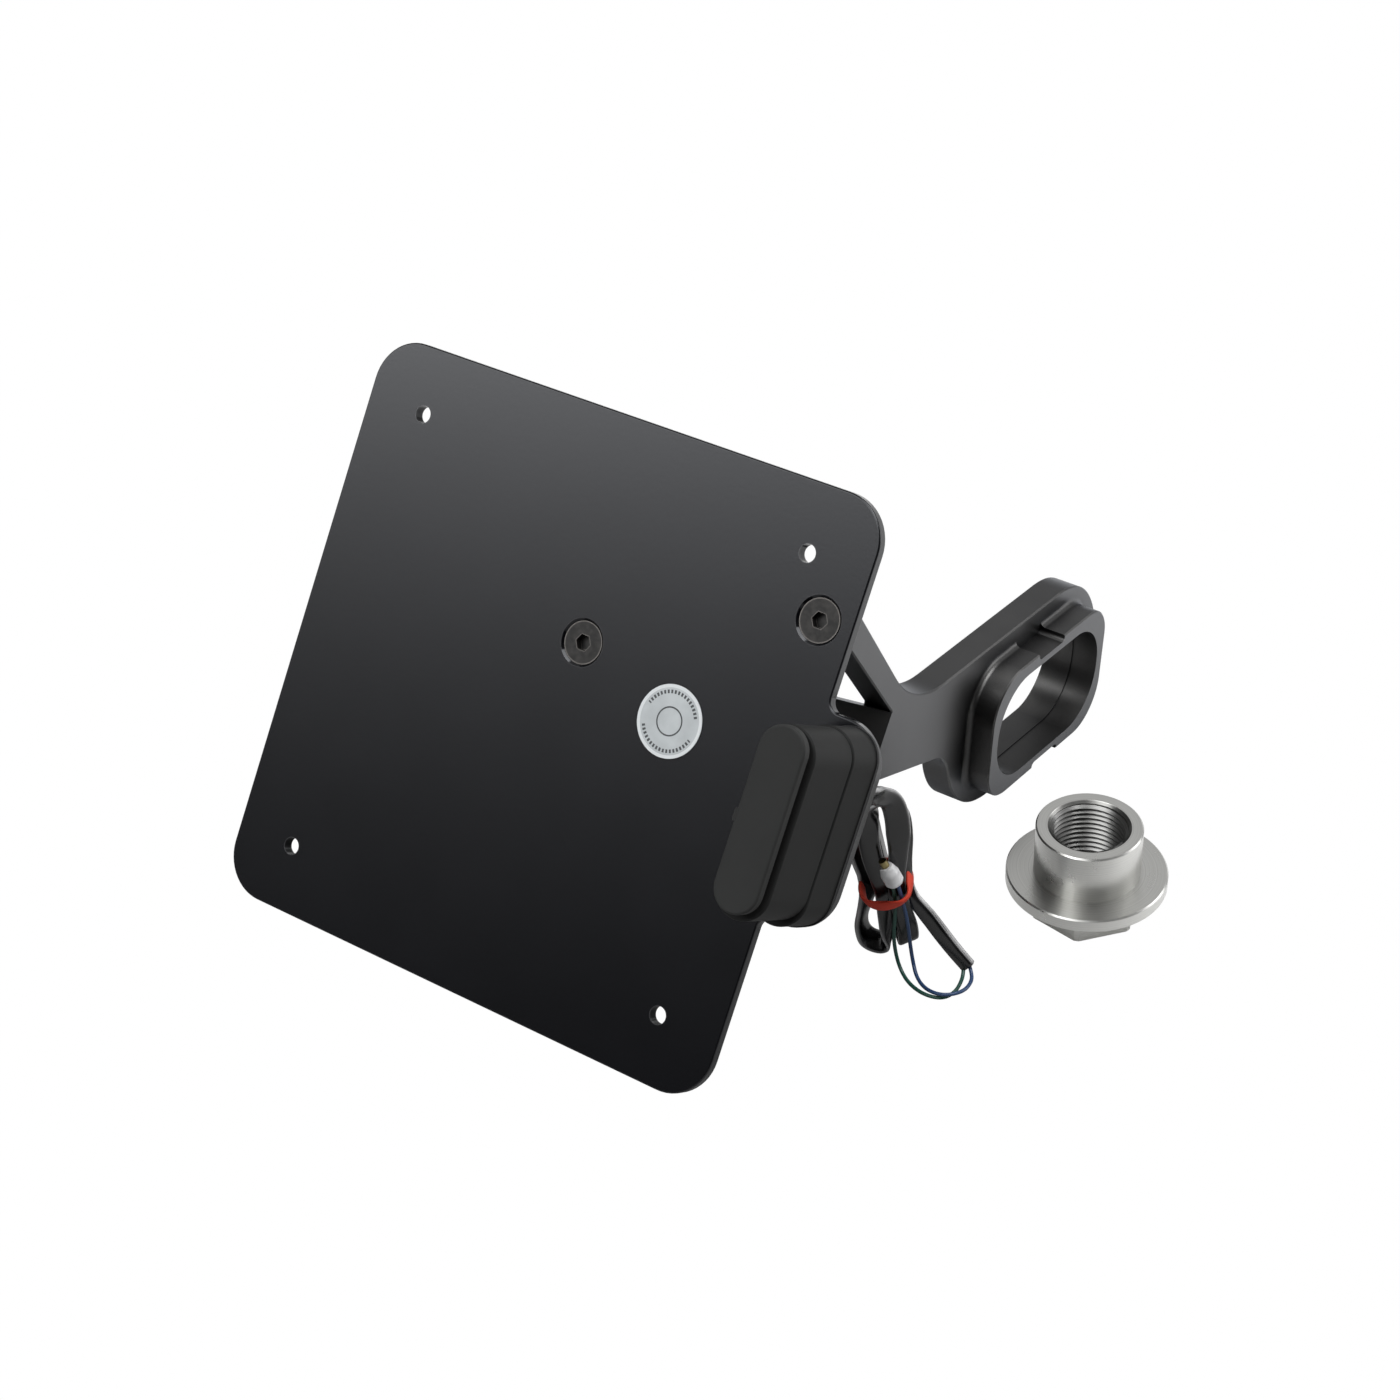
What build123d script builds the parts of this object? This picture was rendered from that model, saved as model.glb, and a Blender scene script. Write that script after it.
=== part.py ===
from build123d import *
import os
from math import asin, atan2, cos, degrees, hypot, pi, radians, sin, tan

# Side mount number plate holder with its plate light and its loose axle nut.
# The holder is drawn upright: x runs across the plate, y runs back from the plate's
# front face and z runs up, all from the middle of the plate. It is then leaned back
# until it rests on the plate's lower rear edge and the lowest arc of the arm, and
# its origin is moved to the middle of the axle slot on the clamp face.

# Base plate
plate_width = 202.0
plate_height = 200.0
plate_thick = 4.0
plate_corner = 16.0
plate_edge = 0.6
plate_hole_dia = 6.0
plate_hole_pitch = 155.0

# Ear of the plate that carries the light
ear_overhang = 22.8
ear_centre_z = -0.4
ear_margin = 1.9
ear_corner = 15.0
ear_inner_corner = 4.0

# Countersunk M8 screws from the plate into the bracket
screw_dia = 8.0
screw_core_dia = 6.8
screw_head_dia = 14.4
screw_head_sink = 0.7
screw_length = 15.0
screw_hex = 5.0
screw_hex_depth = 2.8
screw_fit = 0.2
inner_screw_x = 9.0
inner_screw_z = 25.2
outer_screw_inset = 12.5
outer_screw_z = 59.0

# Round information disc
disc_dia = 24.0
disc_thick = 0.25
disc_x = 49.0
disc_z = 11.9

# Bracket: foot bar, slab with leg and arm, ring, boss and brace
foot_thick = 12.0
foot_width = 21.0
slab_thick = 11.0
slab_screw_offset = 6.0
leg_top_z = 69.0
leg_fall = 25.3
leg_underside_z = 57.2
leg_underside_fall = 23.2
web_front_y = 60.0
arm_bottom_z = 7.7
arm_bottom_rise = 12.5
valley_radius = 40.0
armpit_radius = 16.0
web_corner_radius = 1.5
bracket_edge = 0.5

ring_y = 161.0
ring_z = 44.3
ring_tilt = 28.0
ring_run = 40.0
ring_radius = 32.4
boss_height = 10.0
boss_length = 80.2
boss_width = 49.0
boss_corner = 17.0
boss_tight_corner = 13.5
boss_foot = 2.0
boss_notch_width = 18.0
boss_notch_depth = 2.4
boss_notch_corner = 1.8
boss_notch_shift = 1.6
slot_length = 71.6
slot_width = 39.4
slot_corner = 18.5
slot_ledge = 0.4

brace_thick = 10.0
brace_foot_x = 22.0
brace_top_z = 33.0
brace_foot_top_z = 26.5
brace_foot_bottom_z = 17.0
brace_bottom_z = 14.5

# Plate light, in layers from the ear forwards
light_inset = 10.5
base_rise = -0.2
body_rise = 0.7
cap_rise = 1.9
light_wall = 2.0
gasket_thick = 1.2
gasket_lip = 0.4
base_depth = 15.8
base_lip = 1.4
base_side = 0.3
seam_depth = 0.5
seam_inset = 0.7
body_depth = 24.5
body_width = 19.6
body_height = 61.6
cap_groove = 2.6
cap_groove_inset = 1.9
cap_thick = 3.2
cap_width = 15.8
cap_margin = 1.2
cap_shift = 0.8
cap_edge = 0.8
cap_tab_height = 4.0
cap_tab_reach = 1.0
window_height = 40.0
window_depth = 15.0
window_back = 4.5
lens_proud = 0.6
lens_flange = 1.4
lens_thick = 1.6
lens_fit = 0.15
board_thick = 1.2
board_height = 44.0
board_depth = 19.0
board_gap = 2.6
led_size = 3.5
led_height = 1.4
led_pitch = 14.0
led_count = 3

# Light fixings and cable outlet behind the ear
fixing_dia = 4.0
fixing_fit = 0.25
fixing_inset = 7.8
fixing_length = 12.0
fixing_head_dia = 7.6
fixing_head_height = 2.6
fixing_head_edge = 1.0
fixing_socket = 2.5
fixing_socket_depth = 1.6
washer_dia = 9.0
washer_thick = 0.8
boss_pin_dia = 8.0
boss_pin_length = 10.0
outlet_drop = 10.8
outlet_dia = 8.0
grommet_flange_dia = 11.0
grommet_flange = 1.6
grommet_nose = 4.0
grommet_nose_dia = 7.6
grommet_fit = 0.1

# Lead, hank, band, wires and connector. Their places are given from the middle of the
# hank: s to its right, d to its back and h above the floor. The hank's own middle is
# given across from the light and back from the plate's lower rear edge.
lead_dia = 5.0
wire_dia = 1.3
hank_x_offset = -4.1
hank_y = 93.9
hank_turn = 31.6
hank_depth = 10.0
band_width = 3.2
band_thick = 1.4
band_roll = 13.0
band_pitch = 25.0
band_centre = (0.8, 0.0, 30.6)
band_length = 14.0
band_depth = 16.4
band_corner = 1.8
band_gap = 0.15
connector_base = (3.9, -8.4, 38.1)
connector_lean = -25.0
connector_length = 7.8
connector_dia = 6.4
connector_neck_dia = 3.4
connector_taper = 4.7
terminal_length = 2.6
terminal_dia = 2.8
arc_share = 0.45

# Loose axle nut, standing on its hexagon
nut_x_offset = 49.1
nut_y = 152.7
nut_turn = -9.4
nut_flats = 33.4
nut_hex_height = 11.5
nut_flange_dia = 54.8
nut_flange_thick = 5.0
nut_barrel_dia = 36.2
nut_barrel_height = 18.6
nut_bore_dia = 26.4
nut_bore_chamfer = 0.9
nut_edge = 0.5

# Sizes and places that follow from the ones above
ear_reach = plate_width / 2 + ear_overhang
light_x = ear_reach - light_inset
cap_x = light_x + cap_shift
base_width = body_width + 2 * base_side
base_height = body_height + 2 * base_lip
cap_height = body_height - 2 * cap_margin
ear_height = base_height + 2 * ear_margin
fixing_pitch = body_height - 2 * fixing_inset
outlet_z = base_rise + fixing_pitch / 2 - outlet_drop
outer_screw_x = plate_width / 2 - outer_screw_inset
slab_right = outer_screw_x + slab_screw_offset
slab_left = slab_right - slab_thick
boss_face = slab_right + boss_height
foot_back = plate_thick + foot_thick
half_width = plate_width / 2
half_height = plate_height / 2
ring_axis = (cos(radians(ring_tilt)), sin(radians(ring_tilt)))
low_arc_y = ring_y - ring_run / 2 * ring_axis[0]
low_arc_z = ring_z - ring_run / 2 * ring_axis[1]

# Lean at which the lower rear edge and the low arc touch one floor
edge_y = plate_thick - plate_edge
edge_z = plate_edge - half_height
rest_span = hypot(low_arc_y - edge_y, low_arc_z - edge_z)
rest_rise = degrees(atan2(low_arc_z - edge_z, low_arc_y - edge_y))
lean = rest_rise - degrees(asin((ring_radius - plate_edge) / rest_span))


def leaned(y, z):
    """A point of the upright holder, turned by the lean about the x axis."""
    a = radians(lean)
    return (y * cos(a) + z * sin(a), z * cos(a) - y * sin(a))


slot_place = leaned(ring_y, ring_z)
edge_place = leaned(edge_y, edge_z)
floor_z = edge_place[1] - plate_edge - slot_place[1]
floor_y = edge_place[0] - slot_place[0]
holder_place = Rot(-lean, 0, 0) * Pos(-boss_face, -ring_y, -ring_z)


def on_floor(x, y, height):
    """A place beside the holder, given by its distance back and its height."""
    return (x - boss_face, y + floor_y, height + floor_z)


def front_plane(y):
    """Sketch plane across the plate at a depth, with z up."""
    return Plane.XZ.offset(-y)


def side_plane(x):
    """Sketch plane of the slab, with y to the right and z up."""
    return Plane.YZ.offset(x)


def across(sketch, y, depth, x=0.0, z=0.0):
    """A sketch across the plate, thickened backwards from a depth."""
    return extrude(front_plane(y) * Pos(x, z) * sketch, amount=-depth)


def bore(x, z, dia, y, depth):
    """A round cutter that runs backwards from a depth."""
    return across(Circle(dia / 2), y, depth, x, z)


def stadium(width, height):
    """Upright outline with full round ends."""
    return RectangleRounded(width, height, width / 2 - 0.01)


# Base plate with its ear, holes and countersinks
def plate_outline():
    body = RectangleRounded(plate_width, plate_height, plate_corner)
    ear_root = half_width - 2 * plate_corner
    ear = Pos((ear_root + ear_reach) / 2, ear_centre_z) * RectangleRounded(
        ear_reach - ear_root, ear_height, ear_corner
    )
    outline = body + ear
    inner = [
        v for v in outline.vertices()
        if abs(v.X - half_width) < 0.1 and abs(v.Y) < ear_height
    ]
    return fillet(inner, ear_inner_corner)


def base_plate():
    plate = across(plate_outline(), 0, plate_thick)
    rims = plate.edges().filter_by(
        lambda e: abs(e.center().Y) < 0.01 or abs(e.center().Y - plate_thick) < 0.01
    )
    plate = fillet(rims, plate_edge)
    half_pitch = plate_hole_pitch / 2
    for x in (-half_pitch, half_pitch):
        for z in (-half_pitch, half_pitch):
            plate -= bore(x, z, plate_hole_dia, -1, plate_thick + 2)
    for x, z in screw_places():
        plate -= countersink(x, z)
    for z in fixing_heights():
        plate -= bore(light_x, z, fixing_dia + 2 * fixing_fit, -1, plate_thick + 2)
    plate -= bore(light_x, outlet_z, outlet_dia, -1, plate_thick + 2)
    return plate


def screw_places():
    return [(inner_screw_x, inner_screw_z), (outer_screw_x, outer_screw_z)]


def fixing_heights():
    return [base_rise - fixing_pitch / 2, base_rise + fixing_pitch / 2]


def countersink(x, z):
    """Right-angled countersink that leaves a narrow gap round the screw head."""
    mouth = screw_head_dia / 2 + screw_head_sink + screw_fit
    cone = Cone(mouth, mouth - plate_thick, plate_thick, align=(Align.CENTER, Align.CENTER, Align.MIN))
    throat = max(mouth - plate_thick, screw_dia / 2 + screw_fit)
    return Pos(x, 0, z) * Rot(-90, 0, 0) * cone + bore(x, z, 2 * throat, -1, plate_thick + 2)


# Countersunk screws with hexagon sockets
def plate_screw(x, z):
    head_height = (screw_head_dia - screw_dia) / 2
    head = Cone(screw_head_dia / 2, screw_dia / 2, head_height, align=(Align.CENTER, Align.CENTER, Align.MIN))
    shank = Cylinder(
        screw_core_dia / 2, screw_length - head_height, align=(Align.CENTER, Align.CENTER, Align.MIN)
    )
    socket = extrude(RegularPolygon(screw_hex / 2, 6, major_radius=False), screw_hex_depth)
    screw = head + Pos(0, 0, head_height) * shank - socket
    return Pos(x, screw_head_sink, z) * Rot(-90, 0, 0) * screw


def plate_screws():
    return [plate_screw(x, z) for x, z in screw_places()]


def info_disc():
    return bore(disc_x, disc_z, disc_dia, -disc_thick, disc_thick)


# Bracket, cut from one block
def line_z(start_z, start_y, slope, y):
    return start_z + (y - start_y) * tan(radians(slope))


def slab_outline():
    """Leg, arm and ring in one outline, with y to the right and z up."""
    top_y = low_arc_y - ring_radius * ring_axis[1]
    top_z = low_arc_z + ring_radius * ring_axis[0]
    leg_slope = tan(radians(leg_fall))
    ring_slope = tan(radians(ring_tilt))
    valley_y = (leg_top_z + leg_slope * plate_thick - top_z + ring_slope * top_y) / (ring_slope + leg_slope)
    valley_z = line_z(leg_top_z, plate_thick, -leg_fall, valley_y)
    web_top_z = line_z(leg_underside_z, plate_thick, -leg_underside_fall, web_front_y)
    arm_end_z = line_z(arm_bottom_z, web_front_y, arm_bottom_rise, low_arc_y)
    arm = Polyline(
        (plate_thick, leg_top_z),
        (valley_y, valley_z),
        (top_y, top_z),
        (low_arc_y, arm_end_z),
        (web_front_y, arm_bottom_z),
        (web_front_y, web_top_z),
        (plate_thick, leg_underside_z),
        close=True,
    )
    ring = Pos(ring_y, ring_z) * Rot(0, 0, ring_tilt) * SlotCenterToCenter(ring_run, 2 * ring_radius)
    outline = make_face(arm) + ring
    valley = nearest(outline, valley_y, valley_z)
    outline = fillet(valley, valley_radius)
    armpit = [
        v for v in outline.vertices()
        if web_front_y + 20 < v.X < low_arc_y and v.Y < low_arc_z and v.Y > arm_bottom_z + 5
    ]
    outline = fillet(min(armpit, key=lambda v: v.X), armpit_radius)
    corner = nearest(outline, web_front_y, web_top_z)
    return fillet(corner, web_corner_radius)


def nearest(sketch, x, y):
    return min(sketch.vertices(), key=lambda v: hypot(v.X - x, v.Y - y))


def ring_place(x):
    return side_plane(x) * Pos(ring_y, ring_z) * Rot(0, 0, ring_tilt)


def boss_outline():
    """Rectangle with two wide corners and two tighter ones."""
    outline = Rectangle(boss_length, boss_width)
    for side in (-1, 1):
        wide = nearest(outline, side * boss_length / 2, -side * boss_width / 2)
        outline = fillet(wide, boss_corner)
        tight = nearest(outline, side * boss_length / 2, side * boss_width / 2)
        outline = fillet(tight, boss_tight_corner)
    return outline


def is_boss_foot(edge):
    """An edge on the slab's face that lies within the boss's outline."""
    at = edge.center()
    along = (at.Y - ring_y) * ring_axis[0] + (at.Z - ring_z) * ring_axis[1]
    over = (at.Z - ring_z) * ring_axis[0] - (at.Y - ring_y) * ring_axis[1]
    inside = abs(along) < boss_length / 2 + 0.1 and abs(over) < boss_width / 2 + 0.1
    return inside and abs(at.X - slab_right) < 0.01 and edge.bounding_box().size.X < 0.01


def boss_notch(side):
    """Shallow cut across the boss's wall, down to the slab."""
    mouth = RectangleRounded(boss_notch_width, 2 * boss_notch_depth, boss_notch_corner)
    place = Pos(-side * boss_notch_shift, side * boss_width / 2)
    return extrude(ring_place(slab_right) * place * mouth, amount=boss_height + 1)


def brace():
    """Web from the arm to the far end of the foot bar, tapered in height."""
    run_x = slab_right - brace_foot_x
    run_y = web_front_y - foot_back
    run = hypot(run_x, run_y)
    side_x = -run_y / run * brace_thick
    side_y = run_x / run * brace_thick
    root_x = side_x * 0.5
    plan = Polyline(
        (slab_right, web_front_y),
        (brace_foot_x, foot_back),
        (brace_foot_x - plate_thick, foot_back - plate_thick),
        (brace_foot_x - run / run_y * brace_thick, foot_back - plate_thick),
        (brace_foot_x - run / run_y * brace_thick, foot_back),
        (slab_right + side_x, web_front_y + side_y),
        (slab_right, web_front_y + side_y + root_x + brace_thick),
        close=True,
    )
    left_x = brace_foot_x - run / run_y * brace_thick
    profile = Polyline(
        (left_x - 1, brace_foot_top_z),
        (slab_right + 1, brace_top_z),
        (slab_right + 1, brace_bottom_z),
        (left_x - 1, brace_foot_bottom_z),
        close=True,
    )
    column = extrude(Plane.XY * make_face(plan), amount=plate_height, both=True)
    web = extrude(Plane.XZ * make_face(profile), amount=plate_height, both=True)
    return column & web


def foot_bar():
    run_x = outer_screw_x - inner_screw_x
    run_z = outer_screw_z - inner_screw_z
    bar = Rot(0, 0, degrees(atan2(run_z, run_x))) * SlotCenterToCenter(hypot(run_x, run_z), foot_width)
    middle_x = (outer_screw_x + inner_screw_x) / 2
    middle_z = (outer_screw_z + inner_screw_z) / 2
    solid = across(bar, plate_thick, foot_thick, middle_x, middle_z)
    beyond = Box(2 * foot_width, 4 * foot_thick, plate_height)
    return solid - Pos(slab_right + foot_width, foot_back, middle_z) * beyond


def bracket():
    slab = extrude(side_plane(slab_left) * slab_outline(), amount=slab_thick)
    slab = edge_break(slab)
    body = slab + foot_bar() + brace()
    boss = extrude(ring_place(slab_right) * boss_outline(), amount=boss_height)
    boss_rim = boss.faces().sort_by(Axis.X)[-1].outer_wire().edges()
    boss = chamfer(boss_rim, bracket_edge)
    body += boss
    body = fillet(body.edges().filter_by(is_boss_foot), boss_foot)
    body = body - boss_notch(-1) - boss_notch(1)
    slot = RectangleRounded(slot_length, slot_width, slot_corner)
    narrow = RectangleRounded(
        slot_length - 2 * slot_ledge, slot_width - 2 * slot_ledge, slot_corner - slot_ledge
    )
    body -= extrude(ring_place(slab_right) * slot, amount=boss_height + 1)
    body -= extrude(ring_place(slab_left - 1) * narrow, amount=slab_thick + 2)
    tapped_depth = screw_length + screw_head_sink
    for x, z in screw_places():
        body -= bore(x, z, screw_core_dia, plate_thick, tapped_depth - plate_thick + 1)
    return body


def edge_break(slab):
    """Small chamfers round both faces of the slab."""
    rims = slab.edges().filter_by(
        lambda e: abs(e.center().X - slab_left) < 0.01 or abs(e.center().X - slab_right) < 0.01
    )
    return chamfer(rims, bracket_edge)


# Plate light
base_front = -gasket_thick - base_depth
body_back = base_front - seam_depth
body_front = body_back - body_depth
groove_front = body_front - cap_groove
cap_front = groove_front - cap_thick


def light_block(width, height, front, depth, rise, x=light_x):
    return across(stadium(width, height), front, depth, x, rise)


def light_gasket():
    width = base_width + 2 * gasket_lip
    height = base_height + 2 * gasket_lip
    sheet = light_block(width, height, -gasket_thick, gasket_thick, base_rise)
    for z in fixing_heights():
        sheet -= bore(light_x, z, fixing_dia + 2 * fixing_fit, -gasket_thick - 1, gasket_thick + 2)
    return sheet - bore(light_x, outlet_z, outlet_dia, -gasket_thick - 1, gasket_thick + 2)


def light_base():
    """Tray on the gasket, with two blind posts for the fixings."""
    shell = light_block(base_width, base_height, base_front, base_depth, base_rise)
    shell = fillet(shell.faces().sort_by(Axis.Y)[0].edges(), cap_edge)
    neck_width = body_width - 2 * seam_inset
    neck_height = body_height - 2 * seam_inset
    shell += light_block(neck_width, neck_height, body_back, seam_depth, body_rise)
    hollow_width = neck_width - 2 * light_wall
    hollow_height = neck_height - 2 * light_wall
    shell -= light_block(hollow_width, hollow_height, body_back, base_depth + seam_depth, body_rise)
    rib_depth = boss_pin_length - light_wall
    for z in fixing_heights():
        shell += bore(light_x, z, boss_pin_dia, -gasket_thick - boss_pin_length, boss_pin_length)
        rib = Box(base_width - light_wall, rib_depth, light_wall)
        shell += Pos(light_x, -gasket_thick - rib_depth / 2, z) * rib
    for z in fixing_heights():
        depth = boss_pin_length - 1
        shell -= bore(light_x, z, fixing_dia, -gasket_thick - depth, depth)
    return shell


def window_middle():
    return body_back - window_back - window_depth / 2


def window_cut(reach):
    """Cutter for the window on the side that faces the plate."""
    window = Box(reach, window_depth, window_height)
    return Pos(light_x - body_width / 2, window_middle(), body_rise) * window


def light_body():
    shell = light_block(body_width, body_height, body_front, body_depth, body_rise)
    shell = fillet(shell.faces().sort_by(Axis.Y)[0].edges(), cap_edge)
    inner_width = body_width - 2 * light_wall
    inner_height = body_height - 2 * light_wall
    shell -= light_block(inner_width, inner_height, body_front + light_wall, body_depth, body_rise)
    neck_width = cap_width - 2 * cap_groove_inset
    neck_height = cap_height - 2 * cap_groove_inset
    shell += light_block(neck_width, neck_height, groove_front, cap_groove, cap_rise, cap_x)
    return shell - window_cut(3 * light_wall)


def light_cap():
    cap = light_block(cap_width, cap_height, cap_front, cap_thick, cap_rise, cap_x)
    cap = fillet(cap.faces().sort_by(Axis.Y)[0].edges(), cap_edge)
    tab_x = cap_x - cap_width / 2
    tab = Box(2 * cap_tab_reach, cap_thick - cap_edge, cap_tab_height)
    tab_y = groove_front - (cap_thick - cap_edge) / 2
    return cap + Pos(tab_x, tab_y, body_rise) * tab


def plate_lens():
    """Clear window with a flange behind the wall of the body."""
    wall_x = light_x - body_width / 2
    pane = Box(lens_proud + light_wall, window_depth - 2 * lens_fit, window_height - 2 * lens_fit)
    pane = fillet(pane.faces().sort_by(Axis.X)[0].edges(), lens_proud / 2)
    flange = Box(lens_thick, window_depth + lens_flange, window_height + lens_flange)
    lens = Pos((light_wall - lens_proud) / 2, 0, 0) * pane
    lens += Pos(light_wall + lens_thick / 2, 0, 0) * flange
    return Pos(wall_x, window_middle(), body_rise) * lens


def board_x():
    return light_x - body_width / 2 + light_wall + lens_thick + led_height + board_gap


def light_board():
    """Circuit board behind the window, seated on the front wall of the body."""
    board_y = body_front + light_wall + board_depth / 2
    board = Box(board_thick, board_depth, board_height)
    return Pos(board_x() + board_thick / 2, board_y, body_rise) * board


def light_leds():
    leds = []
    for i in range(led_count):
        z = body_rise + (i - (led_count - 1) / 2) * led_pitch
        leds.append(Pos(board_x() - led_height / 2, window_middle(), z) * Box(led_height, led_size, led_size))
    return leds


def light_fixing(z):
    """Socket screw from behind the ear into the light's base."""
    shank = Cylinder(fixing_dia / 2, fixing_length, align=(Align.CENTER, Align.CENTER, Align.MIN))
    head = Cylinder(fixing_head_dia / 2, fixing_head_height, align=(Align.CENTER, Align.CENTER, Align.MIN))
    head = fillet(head.faces().sort_by(Axis.Z)[-1].edges(), fixing_head_edge)
    socket = extrude(RegularPolygon(fixing_socket / 2, 6, major_radius=False), fixing_head_height)
    screw = shank + Pos(0, 0, fixing_length) * head
    screw -= Pos(0, 0, fixing_length + fixing_head_height - fixing_socket_depth) * socket
    return Pos(light_x, plate_thick + washer_thick - fixing_length, z) * Rot(-90, 0, 0) * screw


def light_fixings():
    return [light_fixing(z) for z in fixing_heights()]


def fixing_washers():
    washers = []
    for z in fixing_heights():
        washer = bore(light_x, z, washer_dia, plate_thick, washer_thick)
        washers.append(washer - bore(light_x, z, fixing_dia + 2 * fixing_fit, plate_thick, washer_thick))
    return washers


def cable_grommet():
    """Rubber grommet in the ear with a short nose behind it."""
    throat = bore(light_x, outlet_z, outlet_dia - 2 * grommet_fit, 0, plate_thick)
    flange = bore(light_x, outlet_z, grommet_flange_dia, plate_thick, grommet_flange)
    back_rim = flange.faces().sort_by(Axis.Y)[-1].edges()
    flange = fillet(back_rim, grommet_flange / 2)
    nose = bore(light_x, outlet_z, grommet_nose_dia, plate_thick + grommet_flange, grommet_nose)
    nose = chamfer(nose.faces().sort_by(Axis.Y)[-1].edges(), grommet_nose / 5)
    return throat + flange + nose


# Cords
def cord_tube(points, dia, name):
    """Round tube on straight runs joined by tangent arcs as large as they fit."""
    radii = []
    for before, at, after in zip(points, points[1:], points[2:]):
        run_in = Vector(*at) - Vector(*before)
        run_out = Vector(*after) - Vector(*at)
        turn = run_in.get_angle(run_out)
        radii.append(arc_share * min(run_in.length, run_out.length) / tan(radians(turn / 2)))
    path = FilletPolyline(*points, radius=radii)
    print(name, "length", round(path.length, 1), "arc radii", [round(r, 1) for r in radii])
    section = Plane(path @ 0, z_dir=path % 0) * Circle(dia / 2)
    return sweep(section, path=path)


def outlet_point(beyond=0.0):
    """End of the grommet's nose, where the lead leaves it, or a point beyond it."""
    depth = plate_thick + grommet_flange + grommet_nose + beyond
    y, z = leaned(depth - ring_y, outlet_z - ring_z)
    return (light_x - boss_face, y, z)


lead_straight = 16.0
lead_route = [
    (0.6, 1.0, 64.0),
]
sleeve_route = [
    (4.0, -1.0, 33.0),
    (9.6, -1.8, 26.2),
    (14.6, -3.4, 20.4),
    (19.5, -5.4, 13.8),
    (24.2, -7.0, 7.6),
    (28.5, -8.5, 2.8),
]
green_route = [
    (27.0, -7.4, 3.6),
    (27.0, -10.6, 1.2),
    (26.0, -14.8, 0.8),
    (24.0, -19.6, 0.8),
    (19.8, -22.8, 0.8),
    (13.9, -21.0, 0.8),
    (9.0, -15.9, 0.8),
    (6.1, -10.0, 1.6),
    (4.3, -6.9, 6.4),
    (3.5, -5.85, 13.6),
    (3.9, -5.85, 21.0),
    (4.0, -5.85, 29.4),
    (2.5, -8.4, 39.8),
]
blue_route = [
    (28.6, -7.6, 3.6),
    (29.8, -10.8, 1.5),
    (29.5, -14.8, 1.2),
    (27.2, -19.6, 1.8),
    (22.8, -22.6, 2.5),
    (18.2, -22.4, 2.4),
    (14.0, -18.2, 1.2),
    (11.4, -12.4, 0.8),
    (10.2, -7.6, 3.0),
    (9.1, -5.9, 9.6),
    (8.2, -5.85, 18.8),
    (6.3, -5.85, 28.6),
    (4.1, -8.4, 39.8),
]


def by_hank(s, d, h):
    """A place given from the middle of the hank, brought to the row's frame."""
    turn = radians(hank_turn)
    x = light_x + hank_x_offset + s * cos(turn) - d * sin(turn)
    y = hank_y + s * sin(turn) + d * cos(turn)
    return on_floor(x, y, h)


def hank_place(s, d, h):
    return Pos(*by_hank(s, d, h)) * Rot(0, 0, hank_turn)


def route(points):
    return [by_hank(*p) for p in points]


def lead():
    """Lead from the grommet to the front face of the hank."""
    start = [outlet_point(), outlet_point(lead_straight)]
    return cord_tube(start + route(lead_route), lead_dia, "lead") - hank_block()


def hank_block():
    """Outer shape of the folded lead, standing behind the light."""
    outline = Spline(
        (-2.6, 68.4), (1.8, 69.0), (5.6, 66.6), (7.8, 61.0), (8.2, 53.4), (7.2, 44.3),
        (6.7, 36.0), (6.9, 29.6), (9.0, 24.4), (12.2, 16.6), (11.8, 9.4), (7.6, 3.6),
        (0.6, 0.6), (-5.0, 2.6), (-8.7, 8.6), (-8.3, 15.8), (-5.4, 22.4), (-5.3, 29.0),
        (-8.8, 36.4), (-8.2, 46.0), (-6.6, 54.0), (-5.2, 64.0),
        periodic=True,
    )
    block = extrude(Plane.XZ * make_face(outline), amount=hank_depth / 2, both=True)
    return hank_place(0, 0, 0) * block


def band_loop(gap):
    """Band round the waist of the hank, with a gap added on every side."""
    inner = RectangleRounded(band_length - 2 * gap, band_depth - 2 * gap, band_corner - gap)
    over = band_thick + gap
    outer = RectangleRounded(band_length + 2 * over, band_depth + 2 * over, band_corner + over)
    loop = extrude(outer - inner, amount=band_width / 2 + gap, both=True)
    return hank_place(*band_centre) * Rot(0, -band_roll, 0) * Rot(band_pitch, 0, 0) * loop


def lead_hank():
    return hank_block() - band_loop(band_gap)


def rubber_band():
    """Flat rubber band round the hank and the wires before it."""
    return band_loop(0)


def sleeve_end():
    """Lead from the hank down to where its two wires come out."""
    return cord_tube(route(sleeve_route), lead_dia, "sleeve_end") - hank_block() - band_loop(band_gap)


def wire_green():
    return cord_tube(route(green_route), wire_dia, "wire_green") - connector_shell() - sleeve_tip()


def wire_blue():
    return cord_tube(route(blue_route), wire_dia, "wire_blue") - connector_shell() - sleeve_tip()


def sleeve_tip():
    """Room taken by the end of the sleeve where the wires start."""
    return cord_tube(route(sleeve_route), lead_dia, "sleeve_tip")


def connector_place():
    return hank_place(*connector_base) * Rot(0, connector_lean, 0)


def connector_shell():
    """Insulated push-on sleeve of the connector."""
    profile = Polyline(
        (0, 0), (connector_dia / 2 - 0.6, 0), (connector_dia / 2, 0.9), (connector_dia / 2, connector_taper),
        (connector_neck_dia / 2 + 0.5, connector_length), (0, connector_length), close=True,
    )
    shell = revolve(Plane.XZ * make_face(profile), Axis.Z)
    return connector_place() * shell


def connector_terminal():
    """Brass end of the connector."""
    tip = Cylinder(terminal_dia / 2, terminal_length, align=(Align.CENTER, Align.CENTER, Align.MIN))
    tip -= Pos(0, 0, terminal_length / 2) * Cylinder(
        terminal_dia / 4, terminal_length, align=(Align.CENTER, Align.CENTER, Align.MIN)
    )
    return connector_place() * Pos(0, 0, connector_length) * tip


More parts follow.
